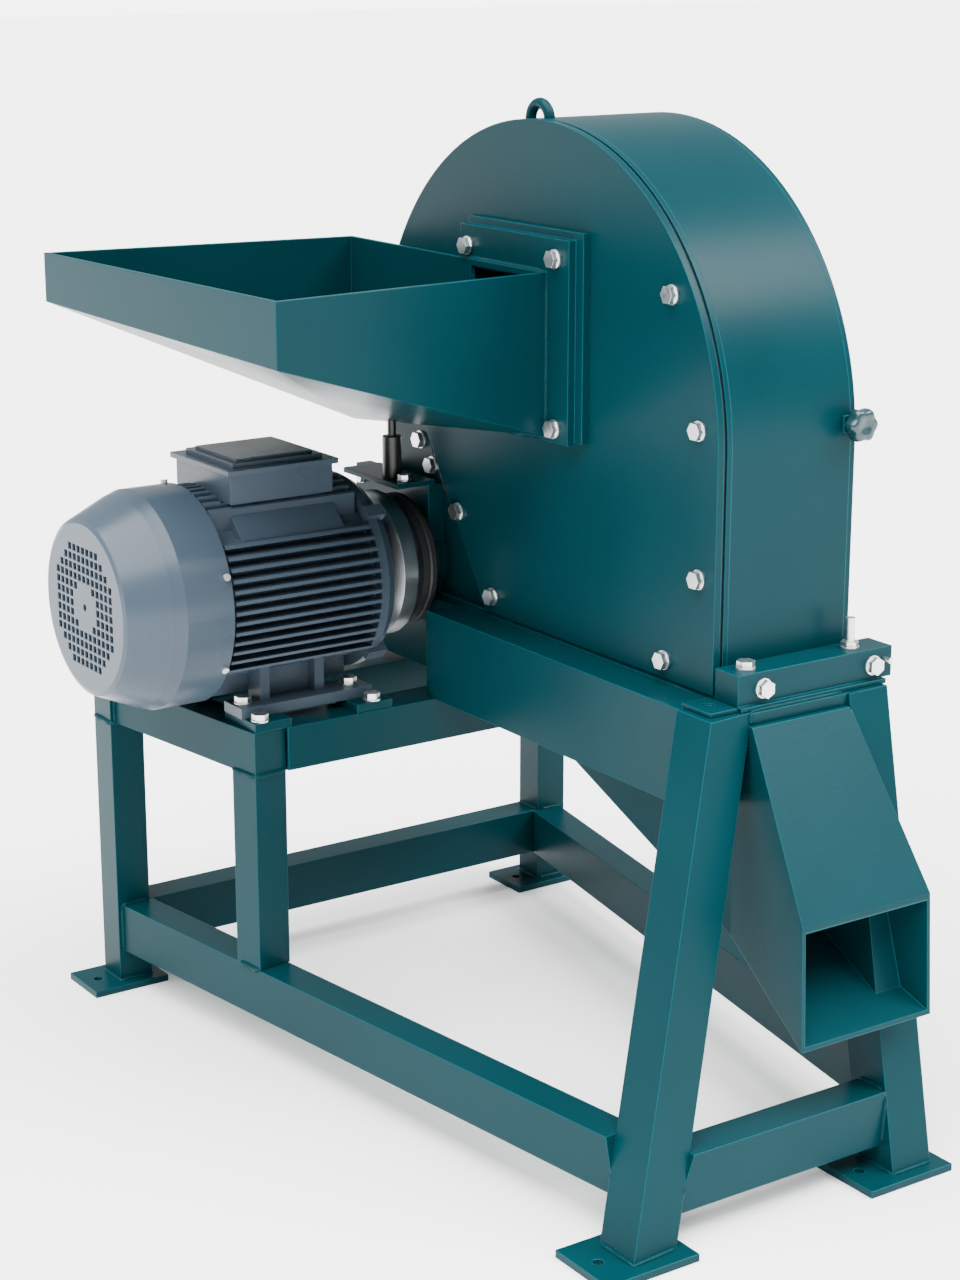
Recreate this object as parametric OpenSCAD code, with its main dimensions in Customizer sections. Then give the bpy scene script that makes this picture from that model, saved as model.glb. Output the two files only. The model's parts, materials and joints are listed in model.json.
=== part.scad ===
// Hammer mill on a welded stand: motor, coupling, countershaft, belt drive, overhung rotor.
// Units are millimetres. X runs from the motor end to the chute end, Y from front to rear.
// The origin is on the floor, under the middle of the bounding box.

/* [View] */
// Which piece to draw

/* [Stand] */
// Height of the stand the housing sits on
beam_top = 484; // [460:1:520]
// Height of the motor platform
platform_top = 383; // [360:1:390]
// Side of the light square tube
tube = 42; // [36:1:48]
// Side of the heavy leg and beam tube
heavy = 52; // [46:1:56]
// Wall of every tube
wall = 3; // [2:0.5:4]
// Height of the upper edge of the low rails
rail_top = 104; // [90:1:140]
// Depth of the low rails
rail_h = 58; // [45:1:60]
// Thickness of the foot plates
foot_t = 8; // [6:1:12]

/* [Housing] */
// Radius of the round top of the housing
house_r = 310; // [300:1:325]
// Depth of the housing body between its two walls
house_d = 166.6; // [160:0.2:190]
// Thickness of the front cover
cover_t = 8; // [6:0.5:10]
// Thickness of the gasket behind the cover
gasket_t = 4; // [2:0.5:6]

/* [Grinding] */
// Inner radius of the screen and the liner
screen_r = 235; // [230:1:238]
// Radius on which the hammer pins sit
pin_circle = 124; // [118:1:126]
// Radius of a hammer pin
pin_r = 8; // [6:0.5:9]
// Distance from the pin to the hammer tip
hammer_reach = 92; // [80:1:94]
// Hammer width
hammer_w = 36; // [24:1:40]

/* [Motor] */
// Height of the motor axis above its feet
motor_h = 132; // [130:1:140]
// Thickness of the pads under the motor feet
riser_t = 10; // [6:1:14]
// Radius of the fan cowl
cowl_r = 122; // [118:1:124]
// Length of the finned frame
stator_l = 191; // [180:1:196]
// Radius of the motor shaft
motor_shaft_r = 19; // [14:1:22]
// Radius of the flexible coupling
coupling_r = 84; // [70:1:86]

/* [Belt drive] */
// Belt radius on the countershaft pulley
drive_pulley_r = 80; // [70:1:84]
// Belt radius on the rotor pulley
rotor_pulley_r = 72; // [66:1:80]

/* [Hopper] */
// Height of the hopper rim
rim_z = 887; // [870:1:910]
// Sheet thickness of the hopper
hopper_t = 4; // [3:0.5:6]

/* [Chute] */
// Sheet thickness of the funnel and chute
chute_t = 4; // [3:0.5:5]

/* [Hidden] */
$fn = 64;
paint = [0.07, 0.32, 0.36];
paint_dark = [0.05, 0.25, 0.29];
motor_grey = [0.38, 0.46, 0.54];
zinc = [0.75, 0.76, 0.76];
steel = [0.55, 0.56, 0.58];
black = [0.06, 0.06, 0.07];
big = 1200;
run = 0.08;
gap = 0.4;
// plane of the front cover face
front_y = 38;
// stand plan
end_x = 467.9;
leg_a_y = -321.5;
leg_f_y = 336;
front_skew = 7.84;
rear_skew = -10.5;
beam_d = 50;
post_x = -157;
side_x = post_x - beam_d;
inner_x = -363;
beam_front = -43.4;
beam_rear = 186;
beam_left = -174;
// raked legs
rake_x = 128.8;
rake_c = 186.8;
rake_d = 30;
leg_top = [339.1, 0, 490];
c_len = sqrt(rake_x * rake_x + rake_c * rake_c + leg_top[2] * leg_top[2]);
c_rx = -atan(rake_c / leg_top[2]);
c_ry = -asin(rake_x / c_len);
d_len = sqrt(rake_x * rake_x + rake_d * rake_d + leg_top[2] * leg_top[2]);
d_rx = -atan(rake_d / leg_top[2]);
d_ry = -asin(rake_x / d_len);
end_rail_top = 91;
bar_h = 34;
// housing
house_x = -24.3;
house_z = 729.6;
flange_t = 6;
base_z = beam_top + flange_t;
rim_y = cover_t + gasket_t;
wall_t = 6;
shell_t = 5;
rear_y = rim_y + house_d;
rotor_z = 745;
liner_t = 5;
chord_a = [-118, 490];
chord_b = [-332, 821.7];
cover_bolts = [[209, 884], [256, 755], [260, 605], [207, 509], [-103, 509], [-172, 594]];
eye_x = -51;
knob_y = 171;
// drive
drive_x = -260;
drive_z = platform_top + riser_t + motor_h;
counter_r = 14;
rotor_shaft_r = 20;
pulley_y = 226;
pulley_w = 36;
centre_dx = house_x - drive_x;
centre_dz = rotor_z - drive_z;
centre_d = sqrt(centre_dx * centre_dx + centre_dz * centre_dz);
belt_a = atan2(centre_dz, centre_dx);
belt_tilt = asin((drive_pulley_r - rotor_pulley_r) / centre_d);
belt_run = centre_d * cos(belt_tilt);
ped_front = -8;
ped_top = 616;
// motor
cowl_front = -426;
cowl_rear = -309;
stator_rear = cowl_rear + stator_l;
shield_rear = -84;
stator_r = 100;
fin_r = 119;
fin_pitch = 11.5;
foot_z = platform_top + riser_t;
foot_bolt_y = [42, 178];
pad_bolt_x = 92;
pad_bolt_y = [44, 188];
// hopper
rim_pts = [[51, -359], [-422, -381], [-366, -18], [21, -18]];
rim_in = [[46, -354.8], [-417, -376.6], [-362.5, -22], [17.4, -22]];
plane_1 = [51, -359, 820];
plane_2 = [21, -18, 714];
slope_1 = [-0.0069, -0.4425];
slope_2 = [0.1085, -0.3013];
feed_x = [-114, 12];
feed_z = [738, 880];
// front face of the tray flange, behind the bolt heads
flange_front = -18;
flange_bolts = [[-126, 900], [36, 902], [36, 724]];
// rotor
disc_y = [30, 72, 114];
disc_t = 6;
disc_r = 150;
hub_r = 26;
slots_a = [[40, 6], [56, 6], [82, 6], [98, 6]];
slots_b = [[48, 6], [64, 6], [90, 6], [106, 6]];
back_y = 126;

// ---------- helpers ----------

// Moves drawing from the cover plane to the shared origin.
module placed() {
  translate([0, front_y, 0]) children();
}

// Extrudes an XZ outline along Y, starting at y0.
module slab(y0, t) {
  translate([0, y0 + t, 0])
    rotate([90, 0, 0])
      linear_extrude(height = t) children();
}

// A cylinder along Y.
module rod_y(x, z, y0, l, r) {
  translate([x, y0, z])
    rotate([-90, 0, 0]) cylinder(r = r, h = l);
}

// A ring along Y.
module ring_y(x, z, y0, l, r, bore) {
  difference() {
    rod_y(x, z, y0, l, r);
    rod_y(x, z, y0 - 1, l + 2, bore);
  }
}

// Hex bolt with washer. The head points along -Z at z = 0, the shank along +Z.
module hex_bolt(r, shank) {
  translate([0, 0, -2]) cylinder(r = 2.05 * r, h = 2);
  translate([0, 0, -2 - 1.3 * r]) cylinder(r = 1.9 * r, h = 1.3 * r, $fn = 6);
  cylinder(r = r, h = shank);
}

module bolt_y(x, z, y_face, r, shank) {
  translate([x, y_face, z]) rotate([-90, 0, 0]) hex_bolt(r, shank);
}

module bolt_x(x_face, y, z, r, shank) {
  translate([x_face, y, z]) rotate([0, -90, 0]) hex_bolt(r, shank);
}

module bolt_down(x, y, z_face, r, shank) {
  translate([x, y, z_face]) rotate([180, 0, 0]) hex_bolt(r, shank);
}

// Hollow square tube drawn from a box size, open along one axis unless an end is capped.
module box_tube(size, axis, low_cap = false, high_cap = false) {
  low = [for (i = [0 : 2]) i != axis || low_cap ? wall : -1];
  high = [for (i = [0 : 2]) i != axis || high_cap ? wall : -1];
  difference() {
    cube(size);
    translate(low) cube(size - low - high);
  }
}

module on_front_line() {
  translate([-end_x, leg_a_y, 0]) rotate([0, 0, front_skew]) children();
}

module on_rear_line() {
  translate([-end_x, leg_f_y, 0]) rotate([0, 0, rear_skew]) children();
}

module leg_c_frame() {
  translate([leg_top[0], beam_front, leg_top[2]])
    rotate([c_rx, 0, 0]) rotate([0, c_ry, 0]) children();
}

module leg_d_frame() {
  translate([leg_top[0], beam_rear, leg_top[2]])
    rotate([d_rx, 0, 0]) rotate([0, d_ry, 0]) children();
}

// Everything past the inner X face of a raked leg.
module past_leg_c() {
  leg_c_frame() translate([-heavy, -300, -700]) cube([500, 600, 900]);
}

module past_leg_d() {
  leg_d_frame() translate([-heavy, -300, -700]) cube([500, 600, 900]);
}

module motor_end_cut() {
  translate([-end_x - 100, -big / 2, 0]) cube([100 + tube, big, 500]);
}

// Half-space above a sloping plane through a point.
module above_plane(p, slope, lift) {
  ry = atan(-slope[0]);
  rx = atan(slope[1] * cos(ry));
  translate([p[0], p[1], p[2] + lift])
    rotate([0, ry, 0]) rotate([rx, 0, 0])
      translate([-big / 2, -big / 2, 0]) cube([big, big, 600]);
}

// Round top with straight sides, cut off flat at the height low.
module tombstone(r, low) {
  difference() {
    union() {
      translate([house_x, house_z]) circle(r = r, $fn = 96);
      translate([house_x - r, low]) square([2 * r, house_z - low]);
    }
    translate([house_x - 500, low - 500]) square([1000, 500]);
  }
}

module cover_outline(r) {
  difference() {
    tombstone(r, base_z);
    polygon([chord_a, chord_b, [-500, 800], [-500, 400], [chord_a[0], 400]]);
  }
}

module feed_hole(y0, l) {
  translate([feed_x[0], y0, feed_z[0]])
    cube([feed_x[1] - feed_x[0], l, feed_z[1] - feed_z[0]]);
}

// ---------- stand ----------

module foot(x0, x1, y0, y1) {
  difference() {
    translate([x0, y0, 0]) cube([x1 - x0, y1 - y0, foot_t]);
    translate([(x0 + x1) / 2, y0 + 20, -1]) cylinder(r = 5.5, h = foot_t + 2);
  }
}

module foot_plates() {
  color(paint) placed() {
    foot(-482, -411, leg_a_y - 40, leg_a_y + tube + 14);
    foot(-482, -411, leg_f_y - tube - 40, leg_f_y + 14);
    foot(398, 482, -270, -160);
    foot(398, 482, 62, 172);
  }
}

module leg_motor_front() {
  color(paint) placed()
    translate([-end_x, leg_a_y, foot_t])
      box_tube([tube, tube, platform_top - beam_d - foot_t], 2);
}

module leg_motor_rear() {
  color(paint) placed()
    translate([-end_x, leg_f_y - tube, foot_t])
      box_tube([tube, tube, platform_top - beam_d - foot_t], 2);
}

module leg_chute_front() {
  color(paint) placed() {
    intersection() {
      leg_c_frame() translate([-heavy, 0, -c_len - 80]) box_tube([heavy, heavy, c_len + 160], 2);
      translate([0, -500, foot_t]) cube([700, 1000, beam_top - foot_t]);
    }
    intersection() {
      leg_c_frame() translate([-heavy, 0, -c_len - 80]) cube([heavy, heavy, c_len + 160]);
      translate([0, -500, beam_top - wall]) cube([700, 1000, wall]);
    }
  }
}

module leg_chute_rear() {
  color(paint) placed() {
    intersection() {
      leg_d_frame() translate([-heavy, -heavy, -d_len - 80]) box_tube([heavy, heavy, d_len + 160], 2);
      translate([0, -500, foot_t]) cube([700, 1000, beam_top - foot_t]);
    }
    intersection() {
      leg_d_frame() translate([-heavy, -heavy, -d_len - 80]) cube([heavy, heavy, d_len + 160]);
      translate([0, -500, beam_top - wall]) cube([700, 1000, wall]);
    }
  }
}

module post_middle() {
  color(paint) placed()
    on_front_line() translate([313.9 - tube, 0, rail_top])
      box_tube([tube, tube, platform_top - beam_d - rail_top], 2);
}

// Capped where it meets the raked leg.
module rail_front() {
  color(paint) placed() difference() {
    union() {
      on_front_line() translate([0, 0, rail_top - rail_h]) box_tube([980, 40, rail_h], 0);
      intersection() {
        on_front_line() translate([0, 0, rail_top - rail_h]) cube([980, 40, rail_h]);
        leg_c_frame() translate([-heavy - wall, -300, -700]) cube([wall + 1, 600, 900]);
      }
    }
    motor_end_cut();
    past_leg_c();
  }
}

// Capped where it meets the raked leg.
module rail_rear() {
  color(paint) placed() difference() {
    union() {
      on_rear_line() translate([0, -40, rail_top - rail_h]) box_tube([980, 40, rail_h], 0);
      intersection() {
        on_rear_line() translate([0, -40, rail_top - rail_h]) cube([980, 40, rail_h]);
        leg_d_frame() translate([-heavy - wall, -300, -700]) cube([wall + 1, 600, 900]);
      }
    }
    motor_end_cut();
    past_leg_d();
  }
}

module rail_motor_end() {
  color(paint) placed()
    translate([-end_x, leg_a_y + tube, rail_top - rail_h])
      box_tube([40, leg_f_y - leg_a_y - 2 * tube, rail_h], 1);
}

// Capped at both raked legs, with a vent hole in its underside.
module rail_chute_end() {
  color(paint) placed() difference() {
    union() {
      translate([406, -260, end_rail_top - rail_h]) box_tube([40, 480, rail_h], 1);
      intersection() {
        translate([406, -260, end_rail_top - rail_h]) cube([40, 480, rail_h]);
        union() {
          leg_c_frame() translate([-300, heavy, -900]) cube([600, wall, 1200]);
          leg_d_frame() translate([-300, -heavy - wall, -900]) cube([600, wall, 1200]);
        }
      }
    }
    translate([426, 0, end_rail_top - rail_h - 1]) cylinder(r = 3, h = wall + 2);
    leg_c_frame() translate([-300, -400, -900]) cube([600, 400 + heavy, 1200]);
    leg_d_frame() translate([-300, -heavy, -900]) cube([600, 400, 1200]);
  }
}

// Capped at both ends, with a vent hole in its underside.
module platform_end_beam() {
  color(paint) placed() difference() {
    translate([-end_x, leg_a_y, platform_top - beam_d])
      box_tube([tube, leg_f_y - leg_a_y, beam_d], 1, true, true);
    translate([-end_x + tube / 2, 0, platform_top - beam_d - 1]) cylinder(r = 3, h = wall + 2);
  }
}

module platform_front_beam() {
  color(paint) placed() difference() {
    on_front_line() translate([0, 0, platform_top - beam_d]) box_tube([313.9, tube, beam_d], 0, false, true);
    motor_end_cut();
    motor_shanks();
  }
}

module platform_rear_beam() {
  color(paint) placed() difference() {
    on_rear_line() translate([0, -tube, platform_top - beam_d]) box_tube([316.2, tube, beam_d], 0, false, true);
    motor_end_cut();
  }
}

// A beam along Y between the slanted front and rear platform beams.
module cross_beam(x0) {
  difference() {
    translate([x0, -340, platform_top - beam_d]) box_tube([beam_d, 680, beam_d], 1);
    on_front_line() translate([0, -200, 0]) cube([700, 200 + tube, 600]);
    on_rear_line() translate([0, -tube, 0]) cube([700, 300, 600]);
    motor_shanks();
  }
}

module platform_cross_beams() {
  color(paint) placed() {
    cross_beam(side_x);
    cross_beam(inner_x);
  }
}

module main_beam_front() {
  color(paint) placed() difference() {
    translate([beam_left, beam_front, platform_top])
      box_tube([600, beam_d, beam_top - platform_top], 0, true);
    past_leg_c();
  }
}

module main_beam_rear() {
  color(paint) placed() difference() {
    translate([beam_left, beam_rear - beam_d, platform_top])
      box_tube([600, beam_d, beam_top - platform_top], 0, true);
    past_leg_d();
  }
}

module top_cross_bar() {
  color(paint) placed() difference() {
    translate([leg_top[0] - 40, -60, beam_top - bar_h]) box_tube([40, 300, bar_h], 1);
    leg_c_frame() translate([-300, -400, -900]) cube([600, 400 + heavy, 1200]);
    leg_d_frame() translate([-300, -heavy, -900]) cube([600, 400, 1200]);
  }
}

module leg_pad() {
  color(paint) placed() difference() {
    translate([284, -38, beam_top]) cube([46, 34, 5]);
    translate([305, -21, beam_top + 3]) cylinder(r = 7, h = 5);
  }
}

module clamp_bar() {
  color(paint) placed() difference() {
    union() {
      translate([292, -2, beam_top]) cube([42, 192, 5]);
      translate([292, -2, beam_top + 5]) cube([36, 204, 32]);
    }
    clamp_shanks();
  }
}

module clamp_shanks() {
  for (y = [30, 176]) rod_x(300, y, beam_top + 20, 40, 5);
  translate([310, 160, beam_top + 17]) cylinder(r = 5, h = 40);
  translate([310, 22, beam_top + 17]) cylinder(r = 5, h = 40);
}

// A cylinder along X.
module rod_x(x0, y, z, l, r) {
  translate([x0, y, z]) rotate([0, 90, 0]) cylinder(r = r, h = l);
}

module clamp_bolts() {
  color(zinc) placed() {
    for (y = [30, 176]) bolt_x(328, y, beam_top + 20, 5, 28);
    bolt_down(310, 22, beam_top + 37, 5, 20);
    translate([310, 160, beam_top + 17]) cylinder(r = 5, h = 52);
    translate([310, 160, beam_top + 37]) cylinder(r = 10, h = 2);
    translate([310, 160, beam_top + 39]) cylinder(r = 9.5, h = 5, $fn = 6);
    rod_x(328, 192, beam_top + 24, 10, 3);
  }
}

// ---------- housing ----------

module base_flange() {
  color(paint) placed() difference() {
    translate([house_x - house_r, 2, beam_top]) cube([2 * house_r, beam_rear - 2, flange_t]);
    translate([-150, 16, beam_top - 1]) cube([390, 118, flange_t + 2]);
  }
}

module housing_shell() {
  color(paint) placed()
    slab(rim_y + wall_t, house_d - 2 * wall_t) difference() {
      tombstone(house_r, base_z);
      tombstone(house_r - shell_t, base_z - 1);
    }
}

module bolt_holes_2d(points, r) {
  for (p = points) translate(p) circle(r = r);
}

module housing_front_rim() {
  color(paint) placed()
    slab(rim_y, wall_t) difference() {
      tombstone(house_r, base_z);
      translate([house_x, rotor_z]) circle(r = screen_r + liner_t, $fn = 96);
      translate([drive_x, drive_z]) circle(r = 46);
      bolt_holes_2d(cover_bolts, 5);
      bolt_holes_2d([[-243, 634], [-268, 660]], 5);
    }
}

module housing_rear_plate() {
  color(paint) placed()
    slab(rear_y - wall_t, wall_t) difference() {
      tombstone(house_r, base_z);
      translate([house_x, rotor_z]) circle(r = 46);
      translate([drive_x, drive_z]) circle(r = 30);
    }
}

module front_cover() {
  color(paint) placed() difference() {
    slab(0, cover_t) difference() {
      cover_outline(house_r);
      bolt_holes_2d(cover_bolts, 5);
      bolt_holes_2d(flange_bolts, 5);
    }
    feed_hole(-1, cover_t + 2);
  }
}

module cover_gasket() {
  color(black) placed()
    slab(cover_t, gasket_t) difference() {
      cover_outline(house_r - 3);
      translate([house_x, rotor_z]) circle(r = screen_r + liner_t, $fn = 96);
      bolt_holes_2d(cover_bolts, 5);
    }
}

module cover_bolts() {
  color(zinc) placed() {
    for (p = cover_bolts) bolt_y(p[0], p[1], 0, 5, rim_y + wall_t);
    for (p = flange_bolts) bolt_y(p[0], p[1], flange_front, 5, cover_t - flange_front);
  }
}

module lifting_eye() {
  color(paint) placed() difference() {
    translate([eye_x, 24, house_z + house_r - 3])
      rotate([90, 0, 0]) rotate_extrude() translate([17, 0]) circle(r = 6, $fn = 32);
    rod_y(house_x, house_z, -20, 100, house_r);
  }
}

// Wedge that covers the lower part of the grinding circle, in XZ.
module low_wedge(r) {
  polygon([[0, 0], [2 * r * cos(200), 2 * r * sin(200)], [0, -2 * r], [2 * r * cos(340), 2 * r * sin(340)]]);
}

module liner() {
  color(steel) placed() {
    translate([house_x, 0, rotor_z]) slab(rim_y + wall_t, house_d - 2 * wall_t) difference() {
      circle(r = screen_r + liner_t, $fn = 96);
      circle(r = screen_r, $fn = 96);
      low_wedge(screen_r);
    }
    translate([house_x, 0, rotor_z]) slab(back_y, 4) difference() {
      circle(r = screen_r, $fn = 96);
      circle(r = 46);
    }
  }
}

module screen() {
  color(steel) placed() translate([house_x, 0, rotor_z]) difference() {
    slab(rim_y, back_y + 4 - rim_y) intersection() {
      difference() {
        circle(r = screen_r + 3, $fn = 96);
        circle(r = screen_r, $fn = 96);
      }
      low_wedge(screen_r);
    }
    for (a = [206 : 8 : 334])
      for (y = [34, 54, 74, 94, 112])
        rotate([0, -a, 0]) rod_x(screen_r - 5, y, 0, 14, 5);
  }
}

// ---------- rotor ----------

module rotor_shaft() {
  color(steel) placed() {
    rod_y(house_x, rotor_z, 26, 240, rotor_shaft_r);
  }
}

module rotor_discs() {
  color(steel) placed() {
    difference() {
      for (y = disc_y) rod_y(house_x, rotor_z, y, disc_t, disc_r);
      rod_y(house_x, rotor_z, 0, 200, rotor_shaft_r);
      at_pins() rod_y(0, 0, 0, 200, pin_r);
    }
    ring_y(house_x, rotor_z, disc_y[0] + disc_t, disc_y[1] - disc_y[0] - disc_t, hub_r, rotor_shaft_r);
    ring_y(house_x, rotor_z, disc_y[1] + disc_t, disc_y[2] - disc_y[1] - disc_t, hub_r, rotor_shaft_r);
  }
}

module at_pins() {
  for (a = [0, 90, 180, 270])
    translate([house_x + pin_circle * cos(a), 0, rotor_z + pin_circle * sin(a)]) children();
}

module hammer_pins() {
  color(steel) placed() {
    at_pins() {
      rod_y(0, 0, disc_y[0] - 5, disc_y[2] - disc_y[0] + disc_t + 10, pin_r);
      rod_y(0, 0, disc_y[0] - 5, 5, pin_r + 4);
      rod_y(0, 0, disc_y[2] + disc_t, 3.5, pin_r + 3);
    }
  }
}

// Hammers on one pin, hanging straight down from it.
module hammer_set(a, slots) {
  color(steel) placed()
    translate([house_x + pin_circle * cos(a), 0, rotor_z + pin_circle * sin(a)])
      for (s = slots) difference() {
        union() {
          rod_y(0, 0, s[0], s[1], hammer_w / 2);
          translate([-hammer_w / 2, s[0], -hammer_reach]) cube([hammer_w, s[1], hammer_reach]);
        }
        rod_y(0, 0, s[0] - 1, s[1] + 2, pin_r + run);
      }
}

module hammers_top() {
  hammer_set(90, slots_a);
}

module hammers_right() {
  hammer_set(0, slots_b);
}

module hammers_bottom() {
  hammer_set(270, slots_a);
}

module hammers_left() {
  hammer_set(180, slots_b);
}

module rotor_bearing_housing() {
  color(paint) placed() {
    ring_y(house_x, rotor_z, 132, 84, 46, 36);
    ring_y(house_x, rotor_z, rear_y, 10, 72, 46);
    for (a = [45 : 90 : 315])
      rotate_about(a) translate([46, rear_y + 10, -4]) cube([22, 24, 8]);
  }
}

module rotate_about(a) {
  translate([house_x, 0, rotor_z]) rotate([0, a, 0]) children();
}

// A bearing ring along Y with a shield recess on both faces.
module bearing(x, z, y0, l, r, bore) {
  translate([x, y0 + l, z]) rotate([90, 0, 0]) rotate_extrude()
    polygon([[bore + run, 0], [bore + 4, 0], [bore + 4, 1.5], [r - 3, 1.5], [r - 3, 0], [r, 0],
      [r, l], [r - 3, l], [r - 3, l - 1.5], [bore + 4, l - 1.5], [bore + 4, l], [bore + run, l]]);
}

module shaft_bearings() {
  color(steel) placed() {
    bearing(house_x, rotor_z, 136, 23, 36, rotor_shaft_r);
    bearing(house_x, rotor_z, 190, 23, 36, rotor_shaft_r);
    bearing(drive_x, drive_z, 2, 18, 34, counter_r);
    bearing(drive_x, drive_z, rear_y + 2, 15, 30, counter_r);
    bearing(drive_x, drive_z, stator_rear + 14, 18, 40, motor_shaft_r);
    bearing(drive_x, drive_z, cowl_rear - 2, 18, 40, motor_shaft_r);
  }
}

// ---------- belt drive ----------

// Two-groove pulley along Y.
module pulley(x, z, r, bore) {
  translate([x, pulley_y + pulley_w, z]) rotate([90, 0, 0]) rotate_extrude()
    polygon([[bore, 0], [r + 8, 0], [r + 8, 3], [r, 5], [r, 13], [r + 8, 15], [r + 8, 21],
      [r, 23], [r, 31], [r + 8, 33], [r + 8, 36], [bore, 36]]);
}

module rotor_pulley() {
  color(black) placed() pulley(house_x, rotor_z, rotor_pulley_r, rotor_shaft_r);
}

module drive_pulley() {
  color(black) placed() pulley(drive_x, drive_z, drive_pulley_r, counter_r);
}

module belt_section(r) {
  polygon([[r + gap, -3.2], [r + 8, -4.9], [r + 8, 4.9], [r + gap, 3.2]]);
}

// Half of a belt loop: the arc on one pulley.
module belt_arc(r, from, sweep) {
  rotate([0, 0, from]) rotate_extrude(angle = sweep) belt_section(r);
}

// One belt in its own plane: drive pulley at the origin, rotor pulley at +X.
module one_belt() {
  belt_arc(drive_pulley_r, 90 - belt_tilt, 180 + 2 * belt_tilt);
  translate([centre_d, 0, 0])
    belt_arc(rotor_pulley_r, -90 + belt_tilt, 180 - 2 * belt_tilt);
  rotate([0, 0, 90 - belt_tilt]) rotate([90, 0, 0])
    linear_extrude(height = belt_run) belt_section(drive_pulley_r);
  rotate([0, 0, -90 + belt_tilt]) rotate([-90, 0, 0])
    linear_extrude(height = belt_run) belt_section(drive_pulley_r);
}

module v_belts() {
  color(black) placed()
    for (y = [pulley_y + 9, pulley_y + 27])
      translate([drive_x, y, drive_z])
        rotate([90, 0, 0]) rotate([0, 0, belt_a]) one_belt();
}

// Guard outline in the belt plane, along the line between the pulleys.
module guard_outline(inset) {
  w = 101 - inset;
  l0 = -101 + inset;
  l1 = centre_d + 93 - inset;
  polygon([[l0, -w + 42], [l0 + 42, -w], [l1 - 40, -w], [l1, -w + 40],
    [l1, w - 40], [l1 - 40, w], [l0 + 42, w], [l0, w - 42]]);
}

module in_belt_plane(y0, t) {
  translate([drive_x, y0 + t, drive_z])
    rotate([90, 0, 0]) rotate([0, 0, belt_a]) linear_extrude(height = t) children();
}

module belt_guard() {
  color(paint) placed() {
    in_belt_plane(218, 56) difference() {
      guard_outline(0);
      guard_outline(3);
    }
    in_belt_plane(274, 3) difference() {
      guard_outline(0);
      circle(r = 24);
      translate([centre_d, 0]) circle(r = 24);
    }
    in_belt_plane(215, 3) difference() {
      guard_outline(0);
      circle(r = 47);
      translate([centre_d, 0]) circle(r = 47);
    }
    translate([drive_x + 80, rear_y, drive_z + 190]) cube([20, 215 - rear_y, 20]);
    translate([drive_x + 215, rear_y, drive_z + 60]) cube([20, 215 - rear_y, 20]);
    translate([house_x + 82, rear_y + 1.4, 741]) cube([291 - house_x - 82, 3, 18]);
    translate([house_x + 82, rear_y + 1.4, 741]) cube([10, 214.6 - rear_y, 18]);
    difference() {
      translate([288, 158, 741]) cube([3, 25, 18]);
      rod_x(280, knob_y, 750, 20, 4.4);
    }
  }
}

module star_knob() {
  color(black) placed() translate([291.4, knob_y, 750]) rotate([0, 90, 0]) {
    cylinder(r = 9, h = 6);
    translate([0, 0, -5.2]) cylinder(r = 4, h = 6);
    translate([0, 0, 6]) difference() {
      cylinder(r = 18, h = 13);
      for (a = [30 : 60 : 330]) rotate([0, 0, a]) translate([20, 0, -1]) cylinder(r = 6, h = 15);
    }
  }
}

module countershaft() {
  color(steel) placed() rod_y(drive_x, drive_z, -30, 298, counter_r);
}

module bearing_pedestal() {
  color(paint_dark) placed() difference() {
    union() {
      translate([-380, ped_front, 398]) cube([380 + beam_left, 70, beam_top - 398]);
      translate([-380, ped_front, beam_top]) cube([158, rim_y - ped_front, ped_top - beam_top]);
      rod_y(drive_x, drive_z, ped_front, 56, 46);
      translate([-340, ped_front - 42, ped_top]) cube([118, 50, 6]);
    }
    rod_y(drive_x, drive_z, ped_front - 1, 80, counter_r + 4);
    rod_y(drive_x, drive_z, 2, 18, 34);
    rod_y(drive_x, drive_z, 20, 60, 30);
    translate([-366, ped_front - 1, 600]) rotate([-90, 0, 0]) cylinder(r = 3, h = 11);
    translate([-262, ped_front - 24, ped_top - 1]) cylinder(r = 4, h = 9);
    translate([-236, ped_front - 24, ped_top - 1]) cylinder(r = 4, h = 9);
    translate([-420, 2, beam_top]) cube([400, 200, flange_t]);
  }
}

module pedestal_bolts() {
  color(zinc) placed() {
    bolt_y(-243, 634, rim_y, 5, wall_t);
    bolt_y(-268, 660, rim_y, 5, wall_t);
    bolt_y(-366, 600, ped_front, 3, 10);
    bolt_down(-236, ped_front - 24, ped_top + 6, 4, 6);
  }
}

// ---------- coupling ----------

module coupling_halves() {
  color(steel) placed() {
    translate([drive_x, -48, drive_z]) rotate([90, 0, 0]) rotate_extrude()
      polygon([[motor_shaft_r, 0], [coupling_r - 2, 0], [coupling_r, 4], [coupling_r, 22],
        [coupling_r - 8, 30], [34, 30], [34, 35], [motor_shaft_r, 35]]);
    ring_y(drive_x, drive_z, -16, 7, 60, counter_r);
  }
}

module coupling_rubber() {
  color(black) placed() translate([drive_x, -16, drive_z]) rotate([90, 0, 0]) rotate_extrude()
    polygon([[22, 0], [70, 0], [77, 6], [77, 12], [75, 14], [77, 16], [77, 24], [80, 32], [22, 32]]);
}

// ---------- motor ----------

module fin_slabs() {
  for (i = [-6 : 6]) translate([-150, -1, i * fin_pitch - 1.8]) cube([300, stator_l + 2, 3.6]);
  for (x = [-66 : fin_pitch : 70]) translate([x - 1.8, -1, 60]) cube([3.6, stator_l + 2, 80]);
  for (x = [-32, -20, 20, 32]) translate([x - 1.8, -1, -130]) cube([3.6, stator_l + 2, 60]);
}

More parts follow.
